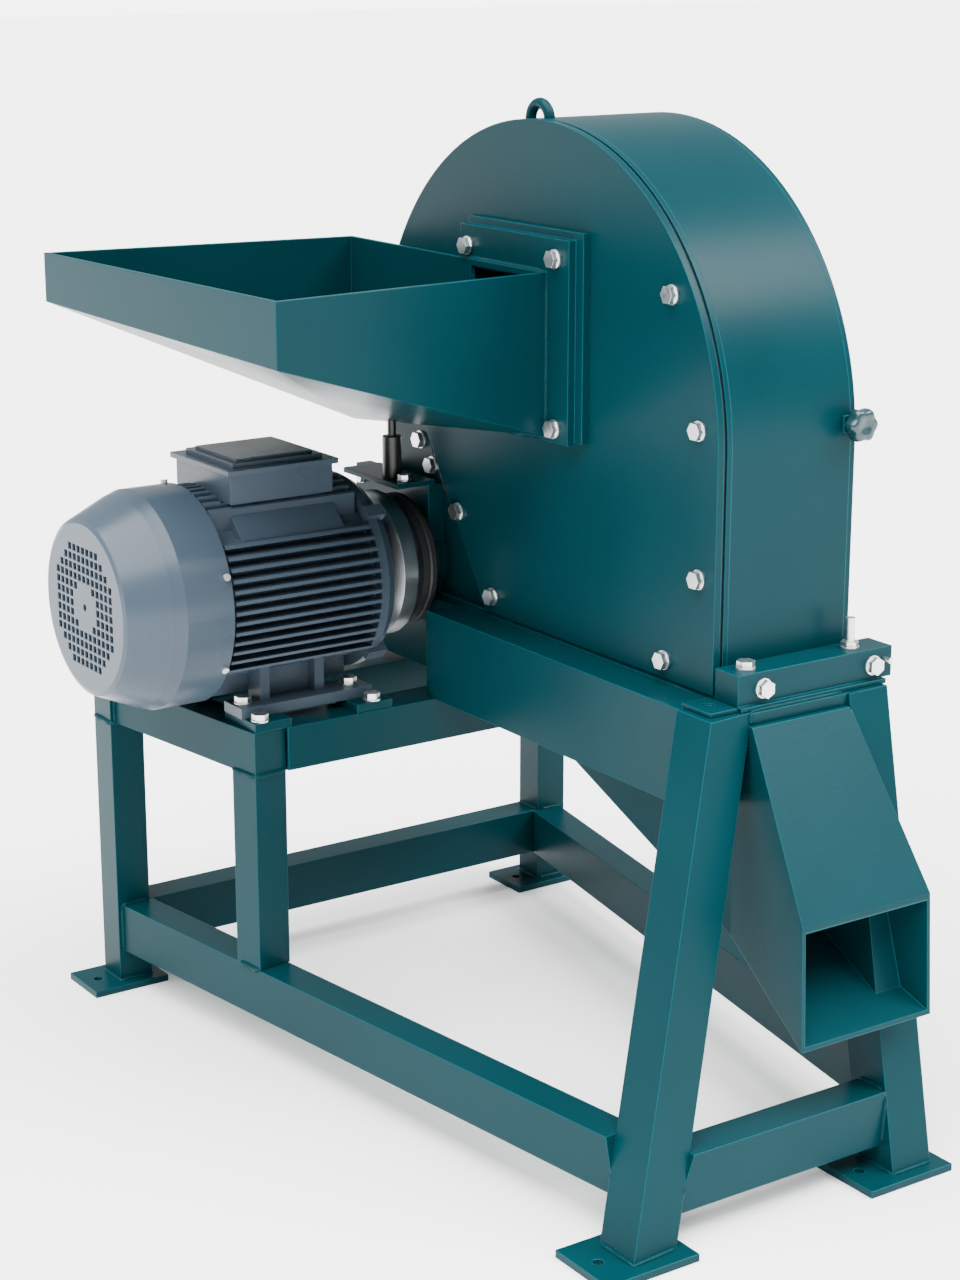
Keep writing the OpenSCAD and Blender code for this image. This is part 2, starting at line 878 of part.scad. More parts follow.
module motor_foot(side) {
  difference() {
    union() {
      translate([side > 0 ? 38 : -78, 29, -motor_h]) cube([40, 168, 12]);
      for (y = [62, 132]) translate([side > 0 ? 34 : -62, y, -motor_h + 10]) cube([28, 12, 60]);
      translate([side > 0 ? 34 : -46, 62, -motor_h + 10]) cube([12, 82, 60]);
    }
    for (y = foot_bolt_y) translate([side * 58, y, -motor_h - 1]) cylinder(r = 5, h = 20);
  }
}

module motor_frame() {
  color(motor_grey) placed() translate([drive_x, cowl_rear, drive_z]) {
    difference() {
      union() {
        rod_y(0, 0, 0, stator_l, stator_r);
        intersection() {
          rod_y(0, 0, 4, stator_l - 8, fin_r);
          fin_slabs();
        }
        rotate([0, 42, 0]) translate([-16, 30, 90]) cube([34, 128, 22]);
        translate([-56, 36, 60]) cube([112, 116, 46]);
        motor_foot(1);
        motor_foot(-1);
      }
      rod_y(0, 0, -1, stator_l + 2, stator_r - 8);
      translate([-68, 25, 106]) cube([136, 140, 30]);
    }
    ring_y(0, 0, 30, stator_l - 60, stator_r - 8, 60);
  }
}

module motor_shields() {
  color(motor_grey) placed() {
    translate([drive_x, shield_rear, drive_z]) rotate([90, 0, 0]) rotate_extrude()
      polygon([[motor_shaft_r + 3, 0], [60, 0], [64, 4], [98, 8], [106, 14], [112, 24],
        [112, 34], [92, 34], [92, 22], [60, 22], [40, 34], [40, 20], [40, 2], [motor_shaft_r + 3, 2]]);
    for (a = [45 : 90 : 315])
      translate([drive_x, 0, drive_z]) rotate([0, a, 0])
        translate([106, stator_rear - 3, -7]) cube([12, 24, 14]);
    ring_y(drive_x, drive_z, cowl_rear - 12, 12, 108, 60);
    ring_y(drive_x, drive_z, cowl_rear - 12, 28, 60, 40);
  }
}

module fan_cowl() {
  color(motor_grey) placed() difference() {
    translate([drive_x, cowl_rear, drive_z]) rotate([90, 0, 0]) rotate_extrude()
      polygon([[0, 114], [0, 117], [92, 117], [97, 115], [99, 111], [117, 70], [119, 64], [cowl_r, 56],
        [cowl_r, 0], [108, 0], [108, 12], [cowl_r - 3, 12], [cowl_r - 3, 56], [114, 66], [95, 111],
        [92, 114]]);
    for (i = [-7 : 7])
      for (j = [-7 : 7])
        if (i * i + j * j < 46 && i * i + j * j > 5)
          translate([drive_x + 10.5 * i, cowl_front - 2, drive_z + 10.5 * j])
            translate([-3.9, 0, -3.9]) cube([7.8, 8, 7.8]);
    rod_y(drive_x, drive_z, cowl_front - 1, 8, 4);
  }
}

module motor_shaft_and_fan() {
  color(steel) placed() {
    rod_y(drive_x, drive_z, -400, 350, motor_shaft_r);
    ring_y(drive_x, drive_z, cowl_rear + 34, stator_l - 68, 59, motor_shaft_r);
    ring_y(drive_x, drive_z, -378, 40, 34, motor_shaft_r);
    for (a = [0 : 45 : 315])
      translate([drive_x, 0, drive_z]) rotate([0, a, 0])
        translate([32, -376, -1.5]) cube([66, 36, 3]);
  }
}

module terminal_box() {
  color(motor_grey) placed() {
    difference() {
      translate([-322, -278, drive_z + 106]) cube([124, 128, 32]);
      translate([-318, -274, drive_z + 110]) cube([116, 120, 30]);
      rod_x(-325, -214, drive_z + 122, 10, 8);
    }
    translate([-327, -283, drive_z + 138]) cube([134, 138, 6]);
    translate([-314, -270, drive_z + 144]) cube([108, 112, 5]);
    translate([-306, -262, drive_z + 149]) cube([92, 96, 3]);
    rod_x(-340, -214, drive_z + 122, 18, 12);
  }
}

module motor_bolts() {
  color(zinc) placed() {
    for (side = [-1, 1]) {
      for (y = foot_bolt_y) bolt_down(drive_x + side * 58, cowl_rear + y, foot_z + 12, 5, 28);
      for (y = pad_bolt_y) bolt_down(drive_x + side * pad_bolt_x, cowl_rear + y, foot_z, 5, 16);
    }
    for (a = [20, 100, -30, 200])
      translate([drive_x, 0, drive_z]) rotate([0, -a, 0]) rod_x(cowl_r, cowl_rear - 6, 0, 4, 4);
  }
}

// Shanks of the bolts that hold the motor down.
module motor_shanks() {
  for (side = [-1, 1]) {
    for (y = foot_bolt_y)
      translate([drive_x + side * 58, cowl_rear + y, foot_z - 16]) cylinder(r = 5, h = 40);
    for (y = pad_bolt_y)
      translate([drive_x + side * pad_bolt_x, cowl_rear + y, foot_z - 16]) cylinder(r = 5, h = 40);
  }
}

module motor_risers() {
  color(paint) placed() difference() {
    for (side = [-1, 1])
      for (y = [32, 163])
        translate([drive_x + (side > 0 ? 34 : -102), cowl_rear + y, platform_top])
          cube([68, 46, riser_t]);
    motor_shanks();
  }
}

// ---------- hopper ----------

module tray_solid(points, lift) {
  intersection() {
    translate([0, 0, 600 + lift]) linear_extrude(height = rim_z - 600) polygon(points);
    above_plane(plane_1, slope_1, lift);
    above_plane(plane_2, slope_2, lift);
  }
}

module hopper_tray() {
  color(paint) placed() difference() {
    intersection() {
      tray_solid(rim_pts, 0);
      translate([-600, -600, 0]) cube([1200, 1200, rim_z]);
    }
    tray_solid(rim_in, hopper_t);
    feed_hole(-30, 14);
  }
}

module hopper_flanges() {
  color(paint) placed() {
    difference() {
      translate([-140, -18, 709]) cube([200, 9, 214]);
      feed_hole(-20, 14);
      for (p = flange_bolts) rod_y(p[0], p[1], -20, 22, 5);
    }
    difference() {
      translate([-137, -9, 712]) cube([210, 9, 219]);
      feed_hole(-12, 14);
      for (p = flange_bolts) rod_y(p[0], p[1], -20, 22, 5);
    }
  }
}

module hopper_stay() {
  color(black) placed() difference() {
    union() {
      translate([-262, ped_front - 24, ped_top + 6]) cylinder(r = 11, h = 48);
      translate([-262, ped_front - 24, ped_top + 54]) cylinder(r = 5, h = 40);
      translate([-262, ped_front - 24, ped_top]) cylinder(r = 4, h = 10);
    }
    intersection() {
      above_plane(plane_1, slope_1, 0);
      above_plane(plane_2, slope_2, 0);
    }
  }
}

// ---------- discharge ----------

module funnel_profile(t) {
  polygon([[-150 + t, 490], [-150 + t, 432 + t], [300, 250 + 1.08 * t], [310, 250 + 1.08 * t],
    [310, 448 - t], [298, 448 - t], [298, 460], [262, 490]]);
}

module funnel_outer() {
  intersection() {
    slab(9, 111) funnel_profile(0);
    translate([-400, 0, 0]) cube([700, 400, beam_top]);
  }
}

module chute_profile(t) {
  polygon([[295, 252 + 1.15 * t], [295, 448 - t], [341 + t, 448 - t], [341 + t, 472], [347 + t / 4, 472],
    [452, 300 - 1.9 * t], [459, 171 + 1.3 * t]]);
}

module chute_plan(t) {
  polygon([[290, 7 + t], [316, 7 + t], [475, -21 + t], [475, 156 - t], [347, 131 - t],
    [300, 120 - t], [290, 120 - t]]);
}

// Room kept round the rear raked leg, which the flared mouth passes in front of.
module leg_d_room(gap) {
  leg_d_frame() translate([-200, -heavy - gap, -700]) cube([200 + gap, 300, 900]);
}

module discharge_chute() {
  color(paint) placed() difference() {
    union() {
      funnel_outer();
      difference() {
        intersection() {
          slab(-100, 300) chute_profile(0);
          linear_extrude(height = 600) chute_plan(0);
          translate([300, -200, 0]) cube([300, 500, 600]);
        }
        leg_d_room(3);
      }
    }
    slab(9 + chute_t, 111 - 2 * chute_t) funnel_profile(chute_t);
    difference() {
      intersection() {
        slab(-100, 300) polygon([[290, 252 + 4.6], [290, 444], [345, 444], [345, 462], [349, 462],
          [456.5, 286], [475, 250], [475, 170 - 11 + 4.6], [459, 171 + 4.8]]);
        linear_extrude(height = 600) chute_plan(chute_t);
      }
      leg_d_room(3 + chute_t);
    }
  }
}

foot_plates();
leg_motor_front();
leg_motor_rear();
leg_chute_front();
leg_chute_rear();
post_middle();
rail_front();
rail_rear();
rail_motor_end();
rail_chute_end();
platform_front_beam();
platform_rear_beam();
platform_end_beam();
platform_cross_beams();
motor_risers();
main_beam_front();
main_beam_rear();
top_cross_bar();
leg_pad();
clamp_bar();
clamp_bolts();
base_flange();
housing_shell();
housing_front_rim();
housing_rear_plate();
front_cover();
cover_gasket();
cover_bolts();
lifting_eye();
liner();
screen();
rotor_shaft();
rotor_discs();
hammer_pins();
hammers_top();
hammers_right();
hammers_bottom();
hammers_left();
rotor_bearing_housing();
shaft_bearings();
rotor_pulley();
drive_pulley();
v_belts();
belt_guard();
star_knob();
countershaft();
bearing_pedestal();
pedestal_bolts();
coupling_halves();
coupling_rubber();
motor_frame();
motor_shields();
fan_cowl();
motor_shaft_and_fan();
terminal_box();
motor_bolts();
hopper_tray();
hopper_flanges();
hopper_stay();
discharge_chute();
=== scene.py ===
"""Looks of a hammer mill on its welded stand: paint, plating, rubber, weld beads, knob and studio."""

import json
import math

import bmesh
import bpy
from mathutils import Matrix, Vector
from mathutils.bvhtree import BVHTree


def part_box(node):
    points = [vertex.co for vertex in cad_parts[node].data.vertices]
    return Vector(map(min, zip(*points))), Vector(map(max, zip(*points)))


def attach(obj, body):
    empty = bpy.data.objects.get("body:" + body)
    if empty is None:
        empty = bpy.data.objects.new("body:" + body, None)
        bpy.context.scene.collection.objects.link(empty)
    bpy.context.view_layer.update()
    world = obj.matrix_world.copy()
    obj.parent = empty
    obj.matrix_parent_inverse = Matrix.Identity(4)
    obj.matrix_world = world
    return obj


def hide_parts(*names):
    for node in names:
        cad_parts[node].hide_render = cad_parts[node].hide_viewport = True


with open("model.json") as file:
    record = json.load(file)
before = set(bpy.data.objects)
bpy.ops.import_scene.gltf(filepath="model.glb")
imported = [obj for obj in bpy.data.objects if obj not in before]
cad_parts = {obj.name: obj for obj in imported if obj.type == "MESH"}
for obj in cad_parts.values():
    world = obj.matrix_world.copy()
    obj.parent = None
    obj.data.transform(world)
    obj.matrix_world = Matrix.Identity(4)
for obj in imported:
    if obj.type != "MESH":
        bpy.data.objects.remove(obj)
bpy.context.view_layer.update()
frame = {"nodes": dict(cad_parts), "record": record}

bl_info = {
    "name": "Hammer Mill Looks",
    "version": (1, 0, 0),
    "blender": (4, 5, 0),
    "location": "3D View > Sidebar > Hammer Mill",
    "description": "Gives the packed hammer mill its paint, plating, weld beads, fittings and studio",
    "category": "Object",
}

MM = 0.001
BEAD_PITCH = 4 * MM
SHORTEST_SEAM = 12 * MM
SHARP_EDGE = math.radians(30)
KNOB_LOBES = 6
KNOB_STEPS = 96
FLOOR_HALF = 30
SKY_SEEN = 6.0
CAMERA_PLACE = (2.2021, -1.5432, 1.24)

LEGS = ("leg_motor_front", "leg_motor_rear", "post_middle", "leg_chute_front", "leg_chute_rear")
RAILS = ("rail_front", "rail_rear", "rail_motor_end", "rail_chute_end")
PLATFORM = ("platform_front_beam", "platform_rear_beam", "platform_end_beam",
            "platform_cross_beams")
TOP = ("main_beam_front", "main_beam_rear", "top_cross_bar", "leg_pad", "clamp_bar")
WELDS = (
    ("foot_weld_beads", LEGS, ("foot_plates",)),
    ("rail_weld_beads", RAILS, LEGS + RAILS),
    ("platform_weld_beads", PLATFORM + LEGS, PLATFORM),
    ("top_frame_weld_beads", TOP + PLATFORM + LEGS, TOP),
    ("housing_weld_beads", ("base_flange", "housing_shell"), TOP[:2] + ("base_flange",)),
    ("tray_weld_beads", ("hopper_tray", "hopper_flanges"), ("hopper_flanges", "hopper_tray")),
)


# ---------- colours and nodes ----------

def linear(hex_colour):
    """An sRGB hex colour as linear red, green and blue."""
    parts = [int(hex_colour[i:i + 2], 16) / 255 for i in (1, 3, 5)]
    return tuple(c / 12.92 if c <= 0.04045 else ((c + 0.055) / 1.055) ** 2.4 for c in parts)


def shade(colour, factor):
    """The colour made lighter or darker, with alpha."""
    return tuple(min(1.0, c * factor) for c in colour[:3]) + (1.0,)


def add(tree, kind, sets=None, links=None, **inputs):
    """Adds one node with its settings, input values and incoming links."""
    made = tree.nodes.new(kind)
    for name, value in (sets or {}).items():
        setattr(made, name, value)
    for name, value in inputs.items():
        made.inputs[name.replace("_", " ")].default_value = value
    for name, socket in (links or {}).items():
        tree.links.new(socket, made.inputs[name])
    return made


def new_material(name):
    """A fresh material with only a Principled BSDF and its output."""
    material = bpy.data.materials.new(name)
    material.use_nodes = True
    tree = material.node_tree
    tree.nodes.clear()
    shader = add(tree, "ShaderNodeBsdfPrincipled")
    add(tree, "ShaderNodeOutputMaterial", links={"Surface": shader.outputs[0]})
    return material, tree, shader


def ramp(tree, source, low, high, at=(0.1, 0.9)):
    """A two-stop colour ramp driven by a value."""
    made = add(tree, "ShaderNodeValToRGB", links={"Fac": source})
    for stop, place, colour in zip(made.color_ramp.elements, at, (low, high)):
        stop.position = place
        stop.color = colour
    return made


def noise(tree, where, size_mm, detail=4.0, stretch=None):
    """Noise whose blobs are about size_mm across."""
    if stretch:
        where = add(tree, "ShaderNodeMapping", links={"Vector": where}, Scale=stretch).outputs[0]
    return add(tree, "ShaderNodeTexNoise", links={"Vector": where},
               Scale=1 / (size_mm * MM), Detail=detail).outputs["Fac"]


def finish_surface(tree, shader, colour, spread, rough, grain_mm, patch_mm, height_mm, strength,
                   edge_mm=1.0, edge_highlight_gain=1.6, stretch=None):
    """Patchy colour and roughness, a bump of real grain size, rounded edges, and a painted highlight that
    lightens the colour along every edge.
    """
    where = add(tree, "ShaderNodeTexCoord").outputs["Object"]
    patches = noise(tree, where, patch_mm, 3.0)
    grain = noise(tree, where, grain_mm, 2.0, stretch)
    tint = ramp(tree, patches, shade(colour, 1 - spread), shade(colour, 1 + spread))
    rounded = add(tree, "ShaderNodeBevel", {"samples": 4}, Radius=edge_mm * MM).outputs[0]
    flat = add(tree, "ShaderNodeNewGeometry").outputs["Normal"]
    # Painted highlight: where the bevelled normal turns away from the flat one, the edge mask mixes in a
    # lighter copy of the colour, standing in for light catching the edges.
    facing = add(tree, "ShaderNodeVectorMath", {"operation": "DOT_PRODUCT"})
    tree.links.new(rounded, facing.inputs[0])
    tree.links.new(flat, facing.inputs[1])
    edge = add(tree, "ShaderNodeMapRange", links={"Value": facing.outputs["Value"]},
               From_Min=0.98, From_Max=0.80)
    painted_edge_highlight = add(tree, "ShaderNodeMix", {"data_type": "RGBA"})
    tree.links.new(edge.outputs[0], painted_edge_highlight.inputs[0])
    tree.links.new(tint.outputs[0], painted_edge_highlight.inputs[6])
    painted_edge_highlight.inputs[7].default_value = shade(colour, edge_highlight_gain)
    tree.links.new(painted_edge_highlight.outputs[2], shader.inputs["Base Color"])
    gloss = add(tree, "ShaderNodeMapRange", links={"Value": patches},
                To_Min=rough[0], To_Max=rough[1])
    tree.links.new(gloss.outputs[0], shader.inputs["Roughness"])
    bump = add(tree, "ShaderNodeBump", links={"Height": grain, "Normal": rounded},
               Strength=strength, Distance=height_mm * MM)
    tree.links.new(bump.outputs[0], shader.inputs["Normal"])


# ---------- materials ----------

def sprayed_enamel_on_steel(colour):
    """Machine enamel sprayed over steel plate and tube."""
    # Reads as deep teal with a wet, slightly dimpled gloss, a little darker where the coat is thick.
    material, tree, shader = new_material("sprayed_teal_enamel_on_steel")
    # The last two numbers round the edges by 1.8 mm and paint them 3.6 times lighter, a painted highlight
    # along every edge.
    finish_surface(tree, shader, colour, 0.12, (0.28, 0.38), 4.0, 140.0, 0.16, 0.55, 1.8, 3.6)
    shader.inputs["Specular IOR Level"].default_value = 0.07
    shader.inputs["IOR"].default_value = 1.5
    return material


def enamelled_cast_aluminium(colour):
    """Motor enamel sprayed over cast aluminium."""
    # Reads as satin blue-grey with the fine pebble of a sand-cast skin.
    material, tree, shader = new_material("enamelled_cast_aluminium")
    finish_surface(tree, shader, colour, 0.07, (0.32, 0.46), 2.6, 60.0, 0.10, 0.3, 0.8, 1.7)
    shader.inputs["Specular IOR Level"].default_value = 0.18
    shader.inputs["IOR"].default_value = 1.5
    return material


def enamelled_pressed_steel(colour):
    """Motor enamel on the pressed steel fan cowl."""
    # Reads as smoother and glossier than the casting, so long soft highlights run round it.
    material, tree, shader = new_material("enamelled_pressed_steel_cowl")
    finish_surface(tree, shader, colour, 0.05, (0.24, 0.32), 5.0, 80.0, 0.06, 0.2, 1.2, 1.4)
    shader.inputs["Specular IOR Level"].default_value = 0.25
    shader.inputs["IOR"].default_value = 1.5
    return material


def zinc_plated_steel(colour):
    """Bright zinc plate on bolts, nuts and washers."""
    # Reads as pale silver with faint cloudy patches and rolled grain.
    material, tree, shader = new_material("bright_zinc_plated_steel")
    finish_surface(tree, shader, colour, 0.12, (0.24, 0.42), 1.2, 7.0, 0.03, 0.2, 0.6, 1.1)
    shader.inputs["Metallic"].default_value = 1.0
    return material


def turned_steel(colour):
    """Lathe-turned shafts, rings and coupling halves."""
    # Reads as grey steel with fine rings round the shaft axis, drawn 2 mm apart so that they show.
    material, tree, shader = new_material("turned_steel")
    finish_surface(tree, shader, colour, 0.08, (0.28, 0.4), 2.0, 40.0, 0.04, 0.3, 0.6, 1.2, (0.02, 1.0, 0.02))
    shader.inputs["Metallic"].default_value = 1.0
    return material


def worn_wear_plate(colour):
    """Wear-resistant plate polished by grain, on the screen, liner, discs and hammers."""
    # Reads as dull dark steel with rubbed brighter patches.
    material, tree, shader = new_material("worn_wear_plate")
    finish_surface(tree, shader, colour, 0.3, (0.38, 0.6), 3.0, 30.0, 0.08, 0.35)
    shader.inputs["Metallic"].default_value = 1.0
    return material


def blackened_cast_iron(colour):
    """Machined and blackened cast iron of the pulleys."""
    # Reads as almost black metal with an open sandy grain.
    material, tree, shader = new_material("blackened_cast_iron")
    finish_surface(tree, shader, colour, 0.2, (0.45, 0.65), 1.6, 25.0, 0.12, 0.4)
    shader.inputs["Metallic"].default_value = 0.85
    return material


def moulded_rubber(colour):
    """Moulded nitrile rubber of the coupling element, belts and gasket."""
    # Reads as matt black with a faint grey bloom.
    material, tree, shader = new_material("moulded_nitrile_rubber")
    finish_surface(tree, shader, colour, 0.25, (0.5, 0.68), 1.5, 35.0, 0.06, 0.3)
    shader.inputs["IOR"].default_value = 1.52
    return material


def black_powder_coat(colour):
    """Black powder coat on the tray's stay post."""
    # Reads as satin black with a fine pebble.
    material, tree, shader = new_material("black_powder_coat")
    finish_surface(tree, shader, colour, 0.15, (0.32, 0.45), 1.4, 30.0, 0.06, 0.3)
    shader.inputs["IOR"].default_value = 1.5
    return material


def moulded_phenolic(colour):
    """Moulded phenolic plastic of the star knob."""
    # Reads as dark glossy plastic with soft moulding waves.
    material, tree, shader = new_material("moulded_phenolic_knob")
    finish_surface(tree, shader, colour, 0.12, (0.22, 0.34), 8.0, 20.0, 0.04, 0.2)
    shader.inputs["IOR"].default_value = 1.55
    return material


def studio_floor_paint(colour):
    """Matt white studio floor."""
    # Reads as an even pale sweep with no visible texture.
    material, tree, shader = new_material("matt_studio_floor")
    finish_surface(tree, shader, colour, 0.005, (0.85, 0.95), 40.0, 900.0, 0.02, 0.02)
    return material


# ---------- mesh helpers ----------

def object_from(bm, name, material, body):
    """Turns a bmesh into a named piece with a material that rides on a CAD body."""
    mesh = bpy.data.meshes.new(name)
    bmesh.ops.recalc_face_normals(bm, faces=bm.faces)
    bm.to_mesh(mesh)
    bm.free()
    mesh.shade_smooth()
    mesh.materials.append(material)
    piece = bpy.data.objects.new(name, mesh)
    bpy.context.scene.collection.objects.link(piece)
    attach(piece, body)
    return piece


def side_vectors(direction):
    """Two unit vectors square to a direction."""
    start = Vector((0, 0, 1)) if abs(direction.z) < 0.9 else Vector((1, 0, 0))
    first = direction.cross(start).normalized()
    return first, direction.cross(first).normalized()


def add_bead(bm, start, end, radius, pitch):
    """A weld bead between two points: a tube whose ripples are one pitch apart."""
    start, end = Vector(start), Vector(end)
    line = end - start
    first, second = side_vectors(line.normalized())
    count = max(4, round(line.length / pitch) * 3)
    rings = []
    for i in range(count + 1):
        share = i / count
        taper = min(1.0, 6 * min(share, 1 - share) + 0.35)
        ripple = 1 + 0.14 * math.cos(2 * math.pi * i / 3) + 0.06 * math.sin(1.7 * i)
        r = radius * taper * ripple
        centre = start + line * share
        rings.append([
            bm.verts.new(centre + first * r * math.cos(a) + second * r * math.sin(a))
            for a in (2 * math.pi * k / 8 for k in range(8))
        ])
    for one, two in zip(rings, rings[1:]):
        for k in range(8):
            bm.faces.new((one[k], one[(k + 1) % 8], two[(k + 1) % 8], two[k]))
    bm.faces.new(rings[0])
    bm.faces.new(rings[-1])


def seams(member, base, done, step=6 * MM, reach=0.5 * MM):
    """Stretches of a member's outer edges that lie on another node's surface, as point pairs."""
    low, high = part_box(member)
    base_low, base_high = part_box(base)
    if any(low[i] > base_high[i] + reach or high[i] < base_low[i] - reach for i in range(3)):
        return []
    bm = bmesh.new()
    bm.from_mesh(frame["nodes"][member].data)
    bmesh.ops.remove_doubles(bm, verts=bm.verts, dist=0.02 * MM)
    bmesh.ops.dissolve_limit(bm, angle_limit=math.radians(1), verts=bm.verts, edges=bm.edges)
    base_mesh = frame["nodes"][base].data
    tree = BVHTree.FromPolygons([v.co for v in base_mesh.vertices],
                                [p.vertices for p in base_mesh.polygons])
    centre = (low + high) / 2
    found = []
    for edge in bm.edges:
        if len(edge.link_faces) != 2 or edge.calc_face_angle(0) < SHARP_EDGE:
            continue
        start, end = (v.co.copy() for v in edge.verts)
        line = end - start
        if line.length < SHORTEST_SEAM:
            continue
        count = max(2, round(line.length / step))
        points = [start + line * (i / count) for i in range(count + 1)]
        distances = [tree.find_nearest(point)[3] for point in points]
        touching = [distance is not None and distance < reach for distance in distances]
        run = []
        for point, touch in zip(points + [None], touching + [False]):
            if touch:
                run.append(point)
                continue
            if len(run) > 2:
                middle = (run[0] + run[-1]) / 2
                key = tuple(round(c / BEAD_PITCH) for c in middle)
                where = tree.find_nearest(middle)[1]
                side = max(edge.link_faces, key=lambda f: 1 - abs(f.normal.dot(where)))
                outward = (middle - centre).dot(side.normal)
                if key not in done and outward > 0:
                    done.add(key)
                    found.append((run[0], run[-1]))
            run = []
    bm.free()
    return found


# ---------- settings ----------

class MillPaint(bpy.types.PropertyGroup):
    """Colours of the mill's finishes."""

    teal: bpy.props.FloatVectorProperty(
        name="Teal enamel", description="Colour of the stand, housing, tray and chute",
        subtype="COLOR", default=linear("#032b31"), min=0, max=1)
    motor: bpy.props.FloatVectorProperty(
        name="Motor enamel", description="Colour of the motor",
        subtype="COLOR", default=linear("#35414c"), min=0, max=1)
    zinc: bpy.props.FloatVectorProperty(
        name="Zinc plate", description="Colour of bolts and washers",
        subtype="COLOR", default=linear("#d6d8d8"), min=0, max=1)
    steel: bpy.props.FloatVectorProperty(
        name="Turned steel", description="Colour of shafts and rings",
        subtype="COLOR", default=linear("#a9adb0"), min=0, max=1)
    rubber: bpy.props.FloatVectorProperty(
        name="Rubber", description="Colour of the coupling element, belts and gasket",
        subtype="COLOR", default=linear("#17181a"), min=0, max=1)


class MillWelds(bpy.types.PropertyGroup):
    """Size of the weld beads."""

    bead: bpy.props.FloatProperty(
        name="Weld bead", description="Radius of a weld bead", unit="LENGTH",
        default=3.0 * MM, min=0.001, max=0.006)


class MillStudio(bpy.types.PropertyGroup):
    """Studio light and camera."""

    azimuth: bpy.props.FloatProperty(
        name="Azimuth", description="Camera direction round the mill", subtype="ANGLE",
        default=math.radians(55.85))
    elevation: bpy.props.FloatProperty(
        name="Elevation", description="Camera height angle", subtype="ANGLE",
        default=math.radians(15.62))
    lens: bpy.props.FloatProperty(
        name="Lens", description="Focal length in millimetres", default=72.5, min=20, max=200)
    key: bpy.props.FloatProperty(
        name="Top light", description="Strength of the main soft light", default=12.0, min=0)
    fill: bpy.props.FloatProperty(
        name="Fill", description="Strength of the even light from all round", default=0.85, min=0)


def painted(name):
    """The material made by the finishes operator."""
    return bpy.data.materials[name]


# ---------- operators ----------

class MILL_OT_finishes(bpy.types.Operator):
    """Make the finishes and put them on every CAD node"""

    bl_idname = "mill.finishes"
    bl_label = "Paint and plate"

    def execute(self, context):
        paint = context.scene.mill_paint
        by_slot = {
            "teal_paint": sprayed_enamel_on_steel(paint.teal),
            "motor_paint": enamelled_cast_aluminium(paint.motor),
            "zinc_plate": zinc_plated_steel(paint.zinc),
            "bright_steel": turned_steel(paint.steel),
            "mill_steel": worn_wear_plate(linear("#7b7a77")),
            "cast_iron": blackened_cast_iron(linear("#34353a")),
            "black_rubber": moulded_rubber(paint.rubber),
            "black_paint": black_powder_coat(linear("#141517")),
            "black_plastic": moulded_phenolic(linear("#0d2c30")),
        }
        cowl = enamelled_pressed_steel(paint.motor)
        for part in frame["record"]["subparts"]:
            material = by_slot[part["material_slot"]]
            if part["node"] in ("fan_cowl", "terminal_box"):
                material = cowl
            mesh = frame["nodes"][part["node"]].data
            mesh.materials.clear()
            mesh.materials.append(material)
        return {"FINISHED"}


class MILL_OT_welds(bpy.types.Operator):
    """Lay weld beads where members of the stand, housing and tray meet"""

    bl_idname = "mill.welds"
    bl_label = "Weld beads"

    def execute(self, context):
        radius = context.scene.mill_beads.bead
        teal = painted("sprayed_teal_enamel_on_steel")
        for name, members, bases in WELDS:
            bm = bmesh.new()
            done = set()
            for member in members:
                for base in bases:
                    if member != base:
                        for start, end in seams(member, base, done):
                            add_bead(bm, start, end, radius, BEAD_PITCH)
            if not bm.verts:
                raise RuntimeError(f"{name} found no seam")
            object_from(bm, name, teal, "stand")
        return {"FINISHED"}


class MILL_OT_knob(bpy.types.Operator):
    """Model the moulded star knob in place of its plain solid"""

    bl_idname = "mill.knob"
    bl_label = "Star knob"

    def execute(self, context):
        low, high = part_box("star_knob")
        centre = (low + high) / 2
        length = high.x - low.x
        outer = (high.z - low.z) / 2
        bm = bmesh.new()
        rings = []
        profile = [(0.52, 0.0), (0.52, 0.28), (0.62, 0.34), (0.92, 0.40), (1.0, 0.52),
                   (1.0, 0.80), (0.93, 0.94), (0.80, 1.0), (0.35, 0.985), (0.30, 0.95)]
        for radius, height in profile:
            ring = []
            for k in range(KNOB_STEPS):
                angle = 2 * math.pi * k / KNOB_STEPS
                lobed = max(0.0, radius - 0.55) / 0.45
                wave = 1 - 0.17 * lobed * (0.5 - 0.5 * math.cos(KNOB_LOBES * angle))
                r = outer * radius * wave
                ring.append(bm.verts.new((low.x + length * height,
                                          centre.y + r * math.cos(angle),
                                          centre.z + r * math.sin(angle))))
            rings.append(ring)
        for one, two in zip(rings, rings[1:]):
            for k in range(KNOB_STEPS):
                after = (k + 1) % KNOB_STEPS
                bm.faces.new((one[k], one[after], two[after], two[k]))
        bm.faces.new(rings[0])
        bm.faces.new(rings[-1])
        knob = object_from(bm, "star_knob_moulding", painted("moulded_phenolic_knob"),
                           "knob")
        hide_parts("star_knob")
        return {"FINISHED"}


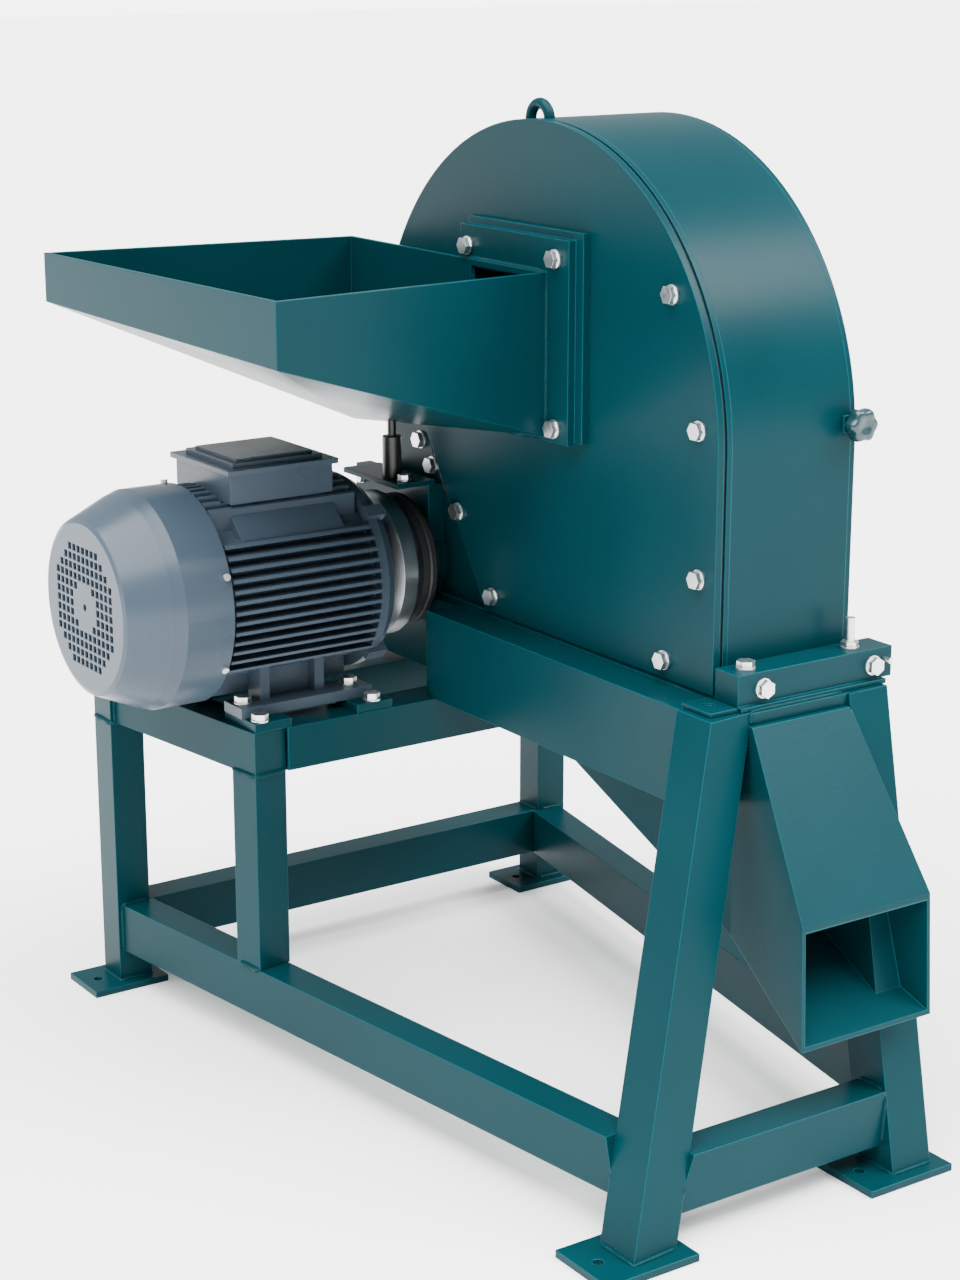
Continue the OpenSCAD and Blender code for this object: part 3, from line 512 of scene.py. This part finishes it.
class MILL_OT_stage(bpy.types.Operator):
    """Set the floor, the soft lights and the camera"""

    bl_idname = "mill.stage"
    bl_label = "Studio"

    def execute(self, context):
        studio = context.scene.mill_studio
        bm = bmesh.new()
        bmesh.ops.create_grid(bm, x_segments=2, y_segments=2, size=FLOOR_HALF)
        mesh = bpy.data.meshes.new("studio_floor")
        bm.to_mesh(mesh)
        bm.free()
        mesh.materials.append(studio_floor_paint(linear("#fafafa")))
        floor = bpy.data.objects.new("studio_floor", mesh)
        context.scene.collection.objects.link(floor)

        world = bpy.data.worlds.new("soft_studio_world")
        context.scene.world = world
        world.use_nodes = True
        background = world.node_tree.nodes["Background"]
        background.inputs["Color"].default_value = (1, 1, 1, 1)
        seen = add(world.node_tree, "ShaderNodeLightPath").outputs["Is Camera Ray"]
        strength = add(world.node_tree, "ShaderNodeMapRange", links={"Value": seen},
                       To_Min=studio.fill, To_Max=SKY_SEEN)
        world.node_tree.links.new(strength.outputs[0], background.inputs["Strength"])

        lights = (
            ("high_sun", (0.6, -1.1, 3.6), 70, studio.key),
            ("front_sun", (-1.6, -3.2, 1.6), 90, studio.key * 0.05),
            ("sheen_sun", (0.45, 0.54, 0.7), 28, studio.key * 0.4),
        )
        for name, place, spread, strength in lights:
            lamp = bpy.data.lights.new(name, "SUN")
            lamp.angle = math.radians(spread)
            lamp.energy = strength
            holder = bpy.data.objects.new(name, lamp)
            context.scene.collection.objects.link(holder)
            holder.location = Vector(place)
            holder.rotation_euler = Vector(place).to_track_quat("Z", "Y").to_euler()

        camera = bpy.data.cameras.new("studio_camera")
        camera.lens = studio.lens
        camera.sensor_width = 36
        camera.clip_end = 100
        holder = bpy.data.objects.new("studio_camera", camera)
        context.scene.collection.objects.link(holder)
        a, e = studio.azimuth, studio.elevation
        back = Vector((math.sin(a) * math.cos(e), -math.cos(a) * math.cos(e), math.sin(e)))
        holder.location = Vector(CAMERA_PLACE)
        holder.rotation_euler = (-back).to_track_quat("-Z", "Y").to_euler()
        context.scene.camera = holder
        return {"FINISHED"}


STEPS = (MILL_OT_finishes, MILL_OT_welds, MILL_OT_knob, MILL_OT_stage)


class MILL_PT_panel(bpy.types.Panel):
    """Sidebar panel with the steps in order"""

    bl_idname = "MILL_PT_panel"
    bl_label = "Hammer Mill"
    bl_space_type = "VIEW_3D"
    bl_region_type = "UI"
    bl_category = "Hammer Mill"

    def draw(self, context):
        for group in ("mill_paint", "mill_beads", "mill_studio"):
            settings = getattr(context.scene, group)
            for name in settings.__annotations__:
                self.layout.prop(settings, name)
        for step in STEPS:
            self.layout.operator(step.bl_idname)


GROUPS = {"mill_paint": MillPaint, "mill_beads": MillWelds, "mill_studio": MillStudio}


def register():
    for cls in (*GROUPS.values(), *STEPS, MILL_PT_panel):
        bpy.utils.register_class(cls)
    for name, group in GROUPS.items():
        setattr(bpy.types.Scene, name, bpy.props.PointerProperty(type=group))


def unregister():
    for name in GROUPS:
        delattr(bpy.types.Scene, name)
    for cls in reversed((*GROUPS.values(), *STEPS, MILL_PT_panel)):
        bpy.utils.unregister_class(cls)


def main():
    """Registers the add-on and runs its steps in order."""
    register()
    for step in STEPS:
        group, name = step.bl_idname.split(".")
        getattr(getattr(bpy.ops, group), name)()


if __name__ == "__main__":
    main()
